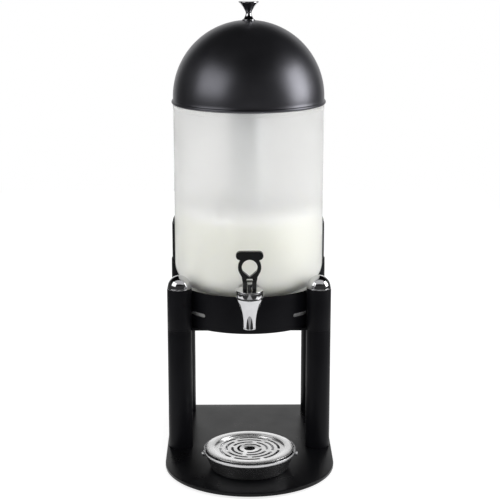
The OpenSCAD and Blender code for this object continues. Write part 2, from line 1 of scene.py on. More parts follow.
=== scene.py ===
import math
import bpy
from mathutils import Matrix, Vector


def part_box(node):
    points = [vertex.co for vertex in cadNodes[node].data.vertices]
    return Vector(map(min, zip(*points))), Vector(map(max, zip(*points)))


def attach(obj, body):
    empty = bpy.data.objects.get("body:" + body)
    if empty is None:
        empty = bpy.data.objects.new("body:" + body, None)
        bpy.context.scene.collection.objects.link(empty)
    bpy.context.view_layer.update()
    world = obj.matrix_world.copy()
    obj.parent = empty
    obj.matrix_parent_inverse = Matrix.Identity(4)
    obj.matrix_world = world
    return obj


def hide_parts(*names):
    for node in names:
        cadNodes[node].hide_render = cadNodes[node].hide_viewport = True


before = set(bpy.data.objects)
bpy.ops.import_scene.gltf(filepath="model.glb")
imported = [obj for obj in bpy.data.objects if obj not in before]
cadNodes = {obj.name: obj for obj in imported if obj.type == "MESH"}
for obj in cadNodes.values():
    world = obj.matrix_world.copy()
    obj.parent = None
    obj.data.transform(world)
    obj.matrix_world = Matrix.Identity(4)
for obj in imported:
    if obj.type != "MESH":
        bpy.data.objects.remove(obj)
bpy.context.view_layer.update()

mm = 0.001
tinyGap = 2e-6  # points closer than this are merged
overCut = 1  # how far a cutting tool reaches past what it cuts
turnedEdge = 30  # edges of turned pieces stay sharp past this angle
fewSteps = 3  # steps of a small rounding
levelSteps = 72  # steps of a piece turned round the shank's axis
fullTurn = 2 * math.pi


def boxOf(node):
    # lowest and highest corner of a CAD node, in millimetres
    return [tuple(value / mm for value in corner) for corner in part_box(node)]


def middleOf(node):
    low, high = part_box(node)
    return [(a + b) / 2 / mm for a, b in zip(low, high)]


# places that several pieces share, in millimetres
axisY = middleOf("lid")[1]
tapY = middleOf("tap_bonnet")[1]
postX, frontPostY = middleOf("front_right_leg")[:2]
rearPostY = middleOf("rear_right_leg")[1]
baseTop = boxOf("base_plate")[1][2]
carrierBottom, carrierTop = (corner[2] for corner in boxOf("carrier_plate"))
sleeveTop = boxOf("front_right_sleeve")[1][2]
extensionTop = boxOf("rear_right_extension")[1][2]
containerZ = boxOf("container")[0][2]
shankZ = middleOf("shank_nut")[2]
pinZ = middleOf("lever_pin")[2]
print("frame loaded")


def clearSelection():
    if bpy.context.object and bpy.context.object.mode != "OBJECT":
        bpy.ops.object.mode_set(mode="OBJECT")
    bpy.ops.object.select_all(action="DESELECT")


def pick(piece):
    clearSelection()
    piece.select_set(True)
    bpy.context.view_layer.objects.active = piece


def drawLine(name, points, closed=True):
    # a plane merged to one point, then extruded from point to point
    clearSelection()
    bpy.ops.mesh.primitive_plane_add(size=mm, location=(0, 0, 0))
    piece = bpy.context.object
    piece.name = name
    piece.data.name = name
    bpy.ops.object.mode_set(mode="EDIT")
    bpy.ops.mesh.select_mode(type="VERT")
    bpy.ops.mesh.select_all(action="SELECT")
    bpy.ops.mesh.merge(type="CENTER")
    points = [tuple(value * mm for value in point) for point in points]
    bpy.ops.transform.translate(value=points[0])
    here = points[0]
    for there in points[1:] + ([points[0]] if closed else []):
        step = tuple(b - a for a, b in zip(here, there))
        bpy.ops.mesh.extrude_vertices_move(TRANSFORM_OT_translate={"value": step})
        here = there
    bpy.ops.mesh.select_all(action="SELECT")
    if closed:
        bpy.ops.mesh.remove_doubles(threshold=tinyGap)
        bpy.ops.mesh.select_all(action="SELECT")
    return piece


def closeShape():
    bpy.ops.mesh.select_all(action="SELECT")
    bpy.ops.mesh.remove_doubles(threshold=tinyGap)
    bpy.ops.mesh.select_all(action="SELECT")
    bpy.ops.mesh.normals_make_consistent(inside=False)
    bpy.ops.object.mode_set(mode="OBJECT")


def smooth(piece, angle=35):
    pick(piece)
    bpy.ops.object.shade_smooth_by_angle(angle=math.radians(angle))


def roundCorners(corners, steps=4):
    # each corner is (across, up, radius); a radius of 0 stays sharp
    points = []
    count = len(corners)
    for i, (x, z, radius) in enumerate(corners):
        if not radius:
            points.append((x, z))
            continue
        before = corners[i - 1]
        after = corners[(i + 1) % count]
        a = (before[0] - x, before[1] - z)
        b = (after[0] - x, after[1] - z)
        lengthA = math.hypot(*a)
        lengthB = math.hypot(*b)
        a = (a[0] / lengthA, a[1] / lengthA)
        b = (b[0] / lengthB, b[1] / lengthB)
        half = math.acos(max(-1, min(1, a[0] * b[0] + a[1] * b[1]))) / 2
        tangent = radius / math.tan(half)
        bisector = (a[0] + b[0], a[1] + b[1])
        length = math.hypot(*bisector)
        reach = radius / math.sin(half)
        middle = (x + bisector[0] / length * reach, z + bisector[1] / length * reach)
        first = (x + a[0] * tangent - middle[0], z + a[1] * tangent - middle[1])
        last = (x + b[0] * tangent - middle[0], z + b[1] * tangent - middle[1])
        swing = math.pi - 2 * half
        for step in range(steps + 1):
            share = step / steps
            p = math.sin((1 - share) * swing) / math.sin(swing)
            q = math.sin(share * swing) / math.sin(swing)
            points.append((middle[0] + p * first[0] + q * last[0], middle[1] + p * first[1] + q * last[1]))
    return points


def arc(middle, radius, start, end, steps):
    # angles in degrees, from the outward direction towards up
    turns = [math.radians(start + (end - start) * i / steps) for i in range(steps + 1)]
    return [(middle[0] + radius * math.cos(t), middle[1] + radius * math.sin(t)) for t in turns]


def rectangle(left, right, low, high):
    return [(left, low), (right, low), (right, high), (left, high)]


def longRound(half, height, radius, steps):
    # a bar with round ends
    return arc((half, height), radius, -90, 90, steps) + arc((-half, height), radius, 90, 270, steps)


def spinUpright(name, profile, place, closed, steps):
    # a profile of (radius, height) turned round an upright axis at place
    x, y = place
    piece = drawLine(name, [(x + r, y, z) for r, z in profile], closed)
    bpy.ops.mesh.spin(steps=steps, angle=fullTurn, center=(x * mm, y * mm, 0), axis=(0, 0, 1))
    closeShape()
    return piece


def spinLevel(name, profile, closed):
    # a profile of (radius, depth) turned round the level axis of the shank
    piece = drawLine(name, [(r, y, shankZ) for r, y in profile], closed)
    bpy.ops.mesh.spin(steps=levelSteps, angle=fullTurn, center=(0, 0, shankZ * mm), axis=(0, 1, 0))
    closeShape()
    return piece


def levelRod(name, radius, start, end):
    return spinLevel(name, rectangle(0, radius, start, end), False)


def extrudeShape(name, points, direction):
    piece = drawLine(name, points)
    bpy.ops.mesh.edge_face_add()
    step = tuple(value * mm for value in direction)
    bpy.ops.mesh.extrude_region_move(TRANSFORM_OT_translate={"value": step})
    closeShape()
    return piece


def applyModifier(piece, kind, **settings):
    pick(piece)
    modifier = piece.modifiers.new(kind.lower(), kind)
    for key, value in settings.items():
        setattr(modifier, key, value)
    bpy.ops.object.modifier_apply(modifier=modifier.name)


def combine(piece, tools, operation):
    for tool in tools:
        applyModifier(piece, "BOOLEAN", object=tool, operation=operation, solver="EXACT")
        bpy.data.meshes.remove(tool.data)


def bevelEdges(piece, width, angle=40, segments=3):
    applyModifier(piece, "BEVEL", width=width * mm, segments=segments, limit_method="ANGLE",
                  angle_limit=math.radians(angle), use_clamp_overlap=True)


def copyTo(piece, name, step):
    pick(piece)
    bpy.ops.object.duplicate()
    copy = bpy.context.object
    copy.name = name
    copy.data.name = name
    bpy.ops.object.mode_set(mode="EDIT")
    bpy.ops.mesh.select_all(action="SELECT")
    bpy.ops.transform.translate(value=tuple(value * mm for value in step))
    bpy.ops.object.mode_set(mode="OBJECT")
    return copy


def joinPieces(pieces):
    clearSelection()
    for piece in pieces:
        piece.select_set(True)
    bpy.context.view_layer.objects.active = pieces[0]
    bpy.ops.object.join()
    return pieces[0]


def dress(piece, body, material, slot, *replaced):
    piece.data.materials.clear()
    piece.data.materials.append(material)
    if replaced:
        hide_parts(*replaced)
    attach(piece, body)


# materials
noiseSpan = (0.3, 0.7)  # most of a noise texture's values lie between these
mixNumbers = {"share": 0, "from": 2, "to": 3, "result": 0}  # the Mix node's sockets for numbers
mixColours = {"share": 0, "from": 6, "to": 7, "result": 2}  # and for colours
brushing = {"smudge": 45, "detail": 4, "roughness": 0.6, "depth": 0.01, "strength": 0.3}


def newMaterial(name):
    material = bpy.data.materials.new(name)
    material.use_nodes = True
    return material, material.node_tree, material.node_tree.nodes["Principled BSDF"]


def fill(tree, node, inputs):
    # the output of another node is linked, a plain value is set
    for key, value in inputs.items():
        if isinstance(value, bpy.types.NodeSocket):
            tree.links.new(value, node.inputs[key])
        else:
            node.inputs[key].default_value = value


def addNode(tree, kind, inputs=None, **settings):
    made = tree.nodes.new(kind)
    for key, value in settings.items():
        setattr(made, key, value)
    fill(tree, made, inputs or {})
    return made


def addNoise(tree, vector, scale, detail=3, roughness=0.5):
    inputs = {"Vector": vector, "Scale": scale, "Detail": detail, "Roughness": roughness}
    return addNode(tree, "ShaderNodeTexNoise", inputs).outputs["Fac"]


def addRange(tree, value, start, end, low=0, high=1, **settings):
    # the way from start to end becomes the way from low to high
    inputs = {"Value": value, "From Min": start, "From Max": end, "To Min": low, "To Max": high}
    return addNode(tree, "ShaderNodeMapRange", inputs, **settings).outputs["Result"]


def addMix(tree, sockets, share, start, end, **settings):
    inputs = {sockets["share"]: share, sockets["from"]: start, sockets["to"]: end}
    return addNode(tree, "ShaderNodeMix", inputs, **settings).outputs[sockets["result"]]


def calculate(tree, operation, *values):
    # a Math node with its values in order
    return addNode(tree, "ShaderNodeMath", dict(enumerate(values)), operation=operation).outputs["Value"]


def addColours(tree, value, dark, light):
    ramp = addNode(tree, "ShaderNodeValToRGB", {"Fac": value})
    for end, position, colour in zip(ramp.color_ramp.elements, noiseSpan, (dark, light)):
        end.position = position
        end.color = (*colour, 1)
    return ramp.outputs["Color"]


def addBump(tree, value, distance, strength=0.5):
    inputs = {"Height": value, "Strength": strength, "Distance": distance * mm}
    return addNode(tree, "ShaderNodeBump", inputs).outputs["Normal"]


def addFade(tree, place, colour, fade):
    # with a fade, the colour turns into another one between two heights
    if not fade:
        return colour
    height = addNode(tree, "ShaderNodeSeparateXYZ", {"Vector": place}).outputs["Z"]
    share = addRange(tree, height, fade["start"] * mm, fade["end"] * mm)
    return addMix(tree, mixColours, share, colour, (*fade["colour"], 1), data_type="RGBA")


def makeFinish(name, dark, light, roughness, grain, depth, smudge, sockets=None, fade=None):
    # colour and gloss drift slowly over the surface, and a fine grain makes the bump
    material, tree, shader = newMaterial(name)
    place = addNode(tree, "ShaderNodeTexCoord").outputs["Object"]
    drift = addNoise(tree, place, smudge)
    fine = addNoise(tree, place, grain, detail=2)
    colour = addColours(tree, drift, dark, light)
    fill(tree, shader, {"Base Color": addFade(tree, place, colour, fade),
                        "Roughness": addRange(tree, drift, *noiseSpan, *roughness),
                        "Normal": addBump(tree, fine, depth), **(sockets or {})})
    return material


def makeTurnedSteel(name, middle, dark, light, roughness, pitch, metallic=1, fade=None):
    # brushing in circles round the middle: noise that only reads the radius and the height
    material, tree, shader = newMaterial(name)
    place = addNode(tree, "ShaderNodeTexCoord").outputs["Object"]
    shift = (-middle[0] * mm, -middle[1] * mm, 0)
    centre = addNode(tree, "ShaderNodeMapping", {"Vector": place, "Location": shift})
    parts = addNode(tree, "ShaderNodeSeparateXYZ", {"Vector": centre.outputs["Vector"]})
    flat = addNode(tree, "ShaderNodeCombineXYZ", {"X": parts.outputs["X"], "Y": parts.outputs["Y"]})
    radius = addNode(tree, "ShaderNodeVectorMath", {0: flat.outputs["Vector"]}, operation="LENGTH")
    rings = addNode(tree, "ShaderNodeCombineXYZ", {"X": radius.outputs["Value"], "Z": parts.outputs["Z"]})
    lines = addNoise(tree, rings.outputs["Vector"], pitch, brushing["detail"], brushing["roughness"])
    drift = addNoise(tree, place, brushing["smudge"])
    colour = addColours(tree, lines, dark, light)
    fill(tree, shader, {"Base Color": addFade(tree, place, colour, fade),
                        "Roughness": addRange(tree, drift, *noiseSpan, *roughness),
                        "Normal": addBump(tree, lines, brushing["depth"], brushing["strength"]),
                        "Metallic": metallic})
    return material


blackCoat = makeFinish("blackCoat", (0.0055, 0.0055, 0.007), (0.0075, 0.0075, 0.0095), (0.4, 0.5),
                       grain=1500, depth=0.06, smudge=30, sockets={"Specular IOR Level": 0.1})
lidCoat = makeFinish("lidCoat", (0.003, 0.003, 0.004), (0.0045, 0.0045, 0.0055), (0.34, 0.4),
                     grain=1700, depth=0.03, smudge=25,
                     sockets={"Specular IOR Level": 1.0, "IOR": 1.72, "Specular Tint": (0.9, 0.9, 1, 1)})
baseCoat = makeFinish("baseCoat", (0.003, 0.003, 0.0035), (0.0045, 0.0045, 0.0055), (0.26, 0.34),
                      grain=1300, depth=0.05, smudge=30, sockets={"Specular IOR Level": 0.17})
leverPlastic = makeFinish("leverPlastic", (0.004, 0.004, 0.0045), (0.006, 0.006, 0.0065), (0.26, 0.36),
                          grain=1800, depth=0.03, smudge=120, sockets={"Specular IOR Level": 0.4})
chrome = makeFinish("polishedChrome", (0.54, 0.54, 0.555), (0.6, 0.6, 0.615), (0.04, 0.08),
                    grain=700, depth=0.004, smudge=60, sockets={"Metallic": 1})
trayFinish = makeTurnedSteel("trayFinish", (0, tapY), (0.5, 0.5, 0.51), (0.62, 0.62, 0.63), (0.2, 0.28),
                             pitch=2600, metallic=0.95)
# painted shade: the ice tube's steel grey at 465 mm turns to a light grey at 340 mm and below, so its top
# reads shaded under the lid
tubeSteel = makeTurnedSteel("tubeSteel", (0, axisY), (0.5, 0.51, 0.52), (0.58, 0.59, 0.6), (0.28, 0.36),
                            pitch=1800, fade={"start": 465, "end": 340, "colour": (0.82, 0.83, 0.83)})
screwSteel = makeFinish("screwSteel", (0.5, 0.5, 0.51), (0.62, 0.62, 0.63), (0.24, 0.34),
                        grain=1400, depth=0.01, smudge=90, sockets={"Metallic": 1})
silicone = makeFinish("silicone", (0.66, 0.66, 0.63), (0.74, 0.74, 0.71), (0.5, 0.6),
                      grain=1200, depth=0.02, smudge=50)
drumZinc = makeFinish("drumZinc", (0.74, 0.74, 0.74), (0.8, 0.8, 0.8), (0.5, 0.6),
                      grain=900, depth=0.02, smudge=60, sockets={"Metallic": 0.2})
footRubber = makeFinish("footRubber", (0.012, 0.012, 0.012), (0.02, 0.02, 0.02), (0.7, 0.8),
                        grain=1000, depth=0.05, smudge=60)
darkPlastic = makeFinish("darkPlastic", (0.012, 0.012, 0.013), (0.018, 0.018, 0.019), (0.4, 0.5),
                         grain=1400, depth=0.03, smudge=70)
frosted = makeFinish("frostedPlastic", (0.88, 0.88, 0.875), (0.92, 0.92, 0.915), (0.58, 0.64),
                     grain=2600, depth=0.02, smudge=18, sockets={"Transmission Weight": 0.86, "IOR": 1.15})
# painted light: the drink glows weakly though it is no lamp, and its colour turns lighter between 316 and
# 327 mm, at its top surface
drinkWhite = makeFinish("drinkWhite", (0.835, 0.84, 0.765), (0.865, 0.87, 0.8), (0.3, 0.38),
                        grain=300, depth=0.01, smudge=14,
                        sockets={"Subsurface Weight": 0.8, "Subsurface Radius": (1, 1, 0.9),
                                 "Subsurface Scale": 0.06, "Emission Color": (1, 1, 0.93, 1),
                                 "Emission Strength": 0.05},
                        fade={"start": 316, "end": 327, "colour": (0.97, 0.97, 0.93)})
print("materials made")

# base plate: a square back and a round front, with the rods' heads sunk into its underside
basePlate = {"edge": 0.9, "backCorner": 3, "noseSteps": 72, "headRadius": 8.1, "headDepth": 4,
             "rodRadius": 4.1, "rodSteps": 48}
low, high = boxOf("base_plate")
noseRadius = (high[0] - low[0]) / 2
noseY = low[1] + noseRadius
outline = arc((0, noseY), noseRadius, 180, 360, basePlate["noseSteps"])
outline += roundCorners([(high[0], noseY, 0), (high[0], high[1], basePlate["backCorner"]),
                         (low[0], high[1], basePlate["backCorner"]), (low[0], noseY, 0)])[1:-1]
base = extrudeShape("basePlate", [(x, y, high[2]) for x, y in outline], (0, 0, low[2] - high[2]))
bevelEdges(base, basePlate["edge"])
profile = [(0, low[2] - overCut), (basePlate["headRadius"], low[2] - overCut),
           (basePlate["headRadius"], low[2]), (basePlate["rodRadius"], low[2] + basePlate["headDepth"]),
           (basePlate["rodRadius"], high[2] + overCut), (0, high[2] + overCut)]
sinks = [spinUpright("sink", profile, (x, y), False, basePlate["rodSteps"])
         for x in (-postX, postX) for y in (frontPostY, rearPostY)]
combine(base, sinks, "DIFFERENCE")
smooth(base)
dress(base, "stand", baseCoat, "black_coat", "base_plate")

# feet: rubber discs with a rounded edge and a dished underside
foot = {"radius": 10, "height": 3, "round": 0.8, "dish": 0.6, "dishRadius": 6, "dishSlope": 0.8,
        "dishRound": 0.3, "rear": (66.2, 140.47), "front": (65.76, -124.26), "steps": 48}
footPlaces = [(side * x, y) for x, y in (foot["rear"], foot["front"]) for side in (-1, 1)]
profile = roundCorners([(0, foot["dish"], 0), (foot["dishRadius"], foot["dish"], foot["dishRound"]),
                        (foot["dishRadius"] + foot["dishSlope"], 0, foot["dishRound"]),
                        (foot["radius"], 0, foot["round"]), (foot["radius"], foot["height"], 0),
                        (0, foot["height"], 0)])
feet = [spinUpright("baseFeet", profile, place, False, foot["steps"]) for place in footPlaces]
feet = joinPieces(feet)
smooth(feet)
dress(feet, "stand", footRubber, "foot_rubber", "base_feet")
print("base done")

# posts: each tube is turned once and copied to the other corners
tube = {"radius": 16.3, "slim": 15, "wall": 2, "edge": 0.5, "inside": 0.3, "steps": 80}


def postTube(name, place, radius, bottom, top):
    inner = radius - tube["wall"]
    profile = roundCorners([(inner, bottom, tube["inside"]), (radius, bottom, tube["edge"]),
                            (radius, top, tube["edge"]), (inner, top, tube["inside"])])
    return spinUpright(name, profile, place, True, tube["steps"])


corners = {"front_left": (-postX, frontPostY), "front_right": (postX, frontPostY),
           "rear_left": (-postX, rearPostY), "rear_right": (postX, rearPostY)}
firstPlace = corners["front_left"]
for kind, bottom, top in (("leg", baseTop, carrierBottom), ("sleeve", carrierTop, sleeveTop)):
    first = postTube("front_left_" + kind + "_tube", firstPlace, tube["radius"], bottom, top)
    smooth(first)
    for corner, (x, y) in corners.items():
        piece = first
        if corner != "front_left":
            step = (x - firstPlace[0], y - firstPlace[1], 0)
            piece = copyTo(first, corner + "_" + kind + "_tube", step)
        dress(piece, "stand", blackCoat, "black_coat", corner + "_" + kind)
for side in ("rear_left", "rear_right"):
    piece = postTube(side + "_extension_tube", corners[side], tube["slim"], sleeveTop, extensionTop)
    smooth(piece)
    dress(piece, "stand", blackCoat, "black_coat", side + "_extension")

collar = {"wall": 1.2, "gap": 0.05, "height": 6, "seat": 0.2, "edge": 0.5}
rings = []
for side in ("rear_left", "rear_right"):
    inner = tube["slim"] + collar["gap"]
    outer = inner + collar["wall"]
    bottom = sleeveTop + collar["seat"]
    top = bottom + collar["height"]
    profile = roundCorners([(inner, bottom, 0), (outer, bottom, collar["edge"]),
                            (outer, top, collar["edge"]), (inner, top, 0)])
    rings.append(spinUpright("rearCollars", profile, corners[side], True, tube["steps"]))
collars = joinPieces(rings)
smooth(collars)
dress(collars, "stand", blackCoat, "black_coat", "rear_collars")

# caps: a lip on the tube's end and a dome above it
postCap = {"lip": 1.5, "lipEdge": 0.35, "domeStep": 0.6, "domeStart": 2, "domeSteps": 22, "rodRadius": 4.05,
           "rodDepth": 11, "steps": 72}
for corner, (x, y) in corners.items():
    inFront = corner.startswith("front")
    radius, bottom = (tube["radius"], sleeveTop) if inFront else (tube["slim"], extensionTop)
    lipTop = bottom + postCap["lip"]
    domeRadius = radius - postCap["domeStep"]
    profile = [(0, bottom + postCap["rodDepth"]), (postCap["rodRadius"], bottom + postCap["rodDepth"]),
               (postCap["rodRadius"], bottom)]
    profile += roundCorners([(postCap["rodRadius"], bottom, 0), (radius, bottom, postCap["lipEdge"]),
                             (radius, lipTop, postCap["lipEdge"]), (domeRadius, lipTop, 0)])[1:]
    profile += arc((0, lipTop), domeRadius, postCap["domeStart"], 90, postCap["domeSteps"])
    cap = spinUpright(corner + "_cap_dome", profile, (x, y), False, postCap["steps"])
    smooth(cap, turnedEdge)
    dress(cap, "stand", chrome, "chrome", corner + "_cap")
print("posts done")

# ring band: rolled sheet with two slots and a notch for the tap
ring = {"wall": 2, "edge": 0.6, "slotLength": 26, "slotHeight": 5.4, "slotUp": 19.5, "slotAngle": 43,
        "slotEndSteps": 12, "cutStart": 8, "cutLength": 16, "notch": 16.4, "notchFront": 4, "notchBack": 20,
        "steps": 192}
low, high = boxOf("ring_band")
ringRadius = (high[0] - low[0]) / 2
inner = ringRadius - ring["wall"]
profile = roundCorners([(inner, low[2], ring["edge"]), (ringRadius, low[2], ring["edge"]),
                        (ringRadius, high[2], ring["edge"]), (inner, high[2], ring["edge"])])
band = spinUpright("ringBand", profile, (0, axisY), True, ring["steps"])
half = (ring["slotLength"] - ring["slotHeight"]) / 2
shape = longRound(half, 0, ring["slotHeight"] / 2, ring["slotEndSteps"])
start = ringRadius - ring["cutStart"]
reach = ring["cutLength"]
cutters = []
for side in (-1, 1):
    turn = math.radians(side * ring["slotAngle"])
    outward = (math.sin(turn), -math.cos(turn))
    along = (math.cos(turn), math.sin(turn))
    points = [(outward[0] * start + along[0] * s, axisY + outward[1] * start + along[1] * s,
               carrierTop + ring["slotUp"] + t) for s, t in shape]
    cutters.append(extrudeShape("slotCutter", points, (outward[0] * reach, outward[1] * reach, 0)))
notchStart = axisY - ringRadius - ring["notchFront"]
notchEnd = axisY - ringRadius + ring["notchBack"]
cutters.append(levelRod("notchCutter", ring["notch"], notchStart, notchEnd))
combine(band, cutters, "DIFFERENCE")
smooth(band)
dress(band, "stand", blackCoat, "black_coat", "ring_band")
print("ring done")

# container: frosted shell with a rounded bottom and ridges under the neck
shell = {"radius": 100.5, "wall": 3, "corner": 33, "cornerSteps": 20, "height": 255.6, "neckStep": 1.7,
         "neckHeight": 7.5, "rimEdge": 0.8, "rimDepth": 20, "ridges": 2, "ridgeHeight": 1.2,
         "ridgeOut": 0.5, "ridgeEdge": 0.3, "bossRadius": 14.4, "bossFace": 102, "bossBack": 74,
         "bossEdge": 0.6, "bore": 7.6, "boreFront": 106, "boreBack": 60, "steps": 192}
top = containerZ + shell["height"]
neckBottom = top - shell["neckHeight"]
neckRadius = shell["radius"] - shell["neckStep"]
innerRadius = shell["radius"] - shell["wall"]
floorZ = containerZ + shell["wall"]
cornerMiddle = (shell["radius"] - shell["corner"], containerZ + shell["corner"])
outside = [(0, containerZ)] + arc(cornerMiddle, shell["corner"], -90, 0, shell["cornerSteps"])
rim = []
for step in range(shell["ridges"], 0, -1):
    bottom = neckBottom - 2 * shell["ridgeHeight"] * step
    out = shell["radius"] + shell["ridgeOut"]
    rim += [(shell["radius"], bottom, 0), (out, bottom, shell["ridgeEdge"]),
            (out, bottom + shell["ridgeHeight"], shell["ridgeEdge"]),
            (shell["radius"], bottom + shell["ridgeHeight"], 0)]
rim += [(shell["radius"], neckBottom, shell["ridgeEdge"]), (neckRadius, neckBottom, 0),
        (neckRadius, top, shell["rimEdge"]), (innerRadius, top, shell["rimEdge"]),
        (innerRadius, top - shell["rimDepth"], 0)]
outside += roundCorners(rim, fewSteps)
inside = arc(cornerMiddle, shell["corner"] - shell["wall"], 0, -90, shell["cornerSteps"]) + [(0, floorZ)]
vessel = spinUpright("containerShell", outside + inside, (0, axisY), False, shell["steps"])
bossFace = axisY - shell["bossFace"]
bossBack = axisY - shell["bossBack"]
profile = roundCorners([(0, bossFace, 0), (shell["bossRadius"], bossFace, shell["bossEdge"]),
                        (shell["bossRadius"], bossBack, shell["bossEdge"]), (0, bossBack, 0)])
combine(vessel, [spinLevel("boss", profile, False)], "UNION")
boreFront = axisY - shell["boreFront"]
boreBack = axisY - shell["boreBack"]
combine(vessel, [levelRod("bore", shell["bore"], boreFront, boreBack)], "DIFFERENCE")
smooth(vessel, turnedEdge)
dress(vessel, "container", frosted, "frosted_plastic", "container")

# socket ring on the container's floor, for the foot of the ice tube
socket = {"inner": 25.8, "wall": 2.5, "height": 8, "edge": 0.6, "steps": 96}
socketOuter = socket["inner"] + socket["wall"]
socketTop = floorZ + socket["height"]
profile = roundCorners([(socket["inner"], floorZ, 0), (socketOuter, floorZ, 0),
                        (socketOuter, socketTop, socket["edge"]),
                        (socket["inner"], socketTop, socket["edge"])], fewSteps)
footRing = spinUpright("tubeSocket", profile, (0, axisY), True, socket["steps"])
smooth(footRing)
dress(footRing, "container", frosted, "frosted_plastic", "tube_socket")

# the ice tube's sizes come first, because the drink leaves room for it
iceTube = {"radius": 25.5, "wall": 1, "foot": 3, "footInside": 2, "bottom": 220, "top": 470, "edge": 0.4,
           "steps": 96}

# drink: fills the lower half round the ice tube and leaves room for the boss
drink = {"gap": 0.4, "level": 331, "shoulder": 12, "shoulderSteps": 8, "cornerSteps": 18, "meniscus": 1.5,
         "meniscusFoot": 3, "meniscusBend": (0.8, 0.4), "tubeGap": 0.5, "socketGap": 1, "hollow": 15,
         "steps": 128}
level = drink["level"]
shoulderMiddle = (innerRadius - drink["gap"] - drink["shoulder"], level - drink["shoulder"])
tubeRadius = iceTube["radius"] + drink["tubeGap"]
bendOut, bendUp = drink["meniscusBend"]
fillCorner = shell["corner"] - shell["wall"] - drink["gap"]
profile = [(socketOuter + drink["gap"], floorZ + drink["gap"])]
profile += arc(cornerMiddle, fillCorner, -90, 0, drink["cornerSteps"])
profile += arc(shoulderMiddle, drink["shoulder"], 0, 90, drink["shoulderSteps"])
profile += [(tubeRadius + drink["meniscusFoot"], level), (tubeRadius + bendOut, level + bendUp),
            (tubeRadius, level + drink["meniscus"]), (tubeRadius, socketTop + drink["socketGap"]),
            (socketOuter + drink["gap"], socketTop + drink["socketGap"])]
liquid = spinUpright("drink", profile, (0, axisY), True, drink["steps"])
combine(liquid, [levelRod("hollow", drink["hollow"], boreFront, boreBack)], "DIFFERENCE")
smooth(liquid)
dress(liquid, "container", drinkWhite, "silicone")

# ice tube and its cap
inner = iceTube["radius"] - iceTube["wall"]
insideZ = iceTube["bottom"] + iceTube["wall"]
profile = roundCorners([(0, iceTube["bottom"], 0), (iceTube["radius"], iceTube["bottom"], iceTube["foot"]),
                        (iceTube["radius"], iceTube["top"], iceTube["edge"]),
                        (inner, iceTube["top"], iceTube["edge"]),
                        (inner, insideZ, iceTube["footInside"]), (0, insideZ, 0)])
pipe = spinUpright("iceTube", profile, (0, axisY), False, iceTube["steps"])
smooth(pipe)
dress(pipe, "ice_tube", tubeSteel, "brushed_steel", "ice_tube")

iceCap = {"radius": 26.5, "thick": 3, "edge": 1, "underEdge": 0.4, "grip": 8, "gripHeight": 10,
          "gripFoot": 2, "gripEdge": 1.5, "plug": 24.2, "plugDepth": 8, "plugEdge": 0.8, "seat": 470.2,
          "steps": 72}
seat = iceCap["seat"]
plugEnd = seat - iceCap["plugDepth"]
plateTop = seat + iceCap["thick"]
gripTop = plateTop + iceCap["gripHeight"]
profile = roundCorners([(0, plugEnd, 0), (iceCap["plug"], plugEnd, iceCap["plugEdge"]),
                        (iceCap["plug"], seat, 0), (iceCap["radius"], seat, iceCap["underEdge"]),
                        (iceCap["radius"], plateTop, iceCap["edge"]),
                        (iceCap["grip"], plateTop, iceCap["gripFoot"]),
                        (iceCap["grip"], gripTop, iceCap["gripEdge"]), (0, gripTop, 0)])
stopper = spinUpright("iceTubeStopper", profile, (0, axisY), False, iceCap["steps"])
smooth(stopper)
dress(stopper, "ice_tube_cap", darkPlastic, "black_plastic", "ice_tube_cap")
print("container done")

# lid: pressed dome with a rolled edge
dome = {"radius": 101, "wall": 1.2, "bottom": 466.3, "spring": 475, "bead": 2.5, "beadOut": 2,
        "beadStart": 70, "beadGap": 1.2, "beadSteps": 14, "seat": 9, "hole": 2.05, "outerSteps": 56,
        "innerSteps": 40, "steps": 192}
knobZ = dome["spring"] + math.sqrt(dome["radius"] ** 2 - dome["seat"] ** 2)
inner = dome["radius"] - dome["wall"]
seatAngle = math.degrees(math.acos(dome["seat"] / dome["radius"]))
holeAngle = math.degrees(math.acos(dome["hole"] / inner))
beadMiddle = (dome["radius"] + dome["beadOut"] - dome["bead"], dome["bottom"] + dome["bead"])
profile = [(dome["hole"], knobZ), (dome["seat"], knobZ)]
profile += arc((0, dome["spring"]), dome["radius"], seatAngle, 0, dome["outerSteps"])[1:]
profile += [(dome["radius"], beadMiddle[1] + dome["bead"] + dome["beadGap"])]
profile += arc(beadMiddle, dome["bead"], dome["beadStart"], -90, dome["beadSteps"])
profile += [(inner, dome["bottom"])]
profile += arc((0, dome["spring"]), inner, 0, holeAngle, dome["innerSteps"])
cover = spinUpright("lidDome", profile, (0, axisY), True, dome["steps"])
smooth(cover, turnedEdge)
dress(cover, "lid", lidCoat, "black_coat", "lid")

# knob: turned trumpet shape
knob = {"height": 25.4, "foot": 8.5, "footUnder": 0.4, "footEdge": 0.6, "footSide": 1.4, "footTop": 2,
        "footStep": 1.6, "waist": 3.8, "waistUp": 9.6, "waistSteps": 6, "waistPower": 1.7, "top": 13.5,
        "topStep": 0.5, "flareSteps": 10, "flarePower": 1.45, "rim": 2.2, "rimStep": 1,
        "rimUnder": (0.4, 0.3), "rimEdge": (0.7, 0.4), "crown": (0.3, 0.2), "screw": 2.05,
        "screwDepth": 8.5, "steps": 72}
bottom = knobZ
holeTop = bottom + knob["screwDepth"]
footRadius = knob["foot"] - knob["footStep"]
profile = [(0, holeTop), (knob["screw"], holeTop), (knob["screw"], bottom)]
profile += roundCorners([(knob["screw"], bottom, 0), (knob["foot"], bottom, knob["footUnder"]),
                         (knob["foot"], bottom + knob["footSide"], knob["footEdge"]),
                         (footRadius, bottom + knob["footTop"], 0)])[1:]
for step in range(1, knob["waistSteps"] + 1):
    share = step / knob["waistSteps"]
    profile.append((knob["waist"] + (footRadius - knob["waist"]) * (1 - share) ** knob["waistPower"],
                    bottom + knob["footTop"] + (knob["waistUp"] - knob["footTop"]) * share))
rimZ = bottom + knob["height"] - knob["rim"]
flareEnd = knob["top"] - knob["topStep"]
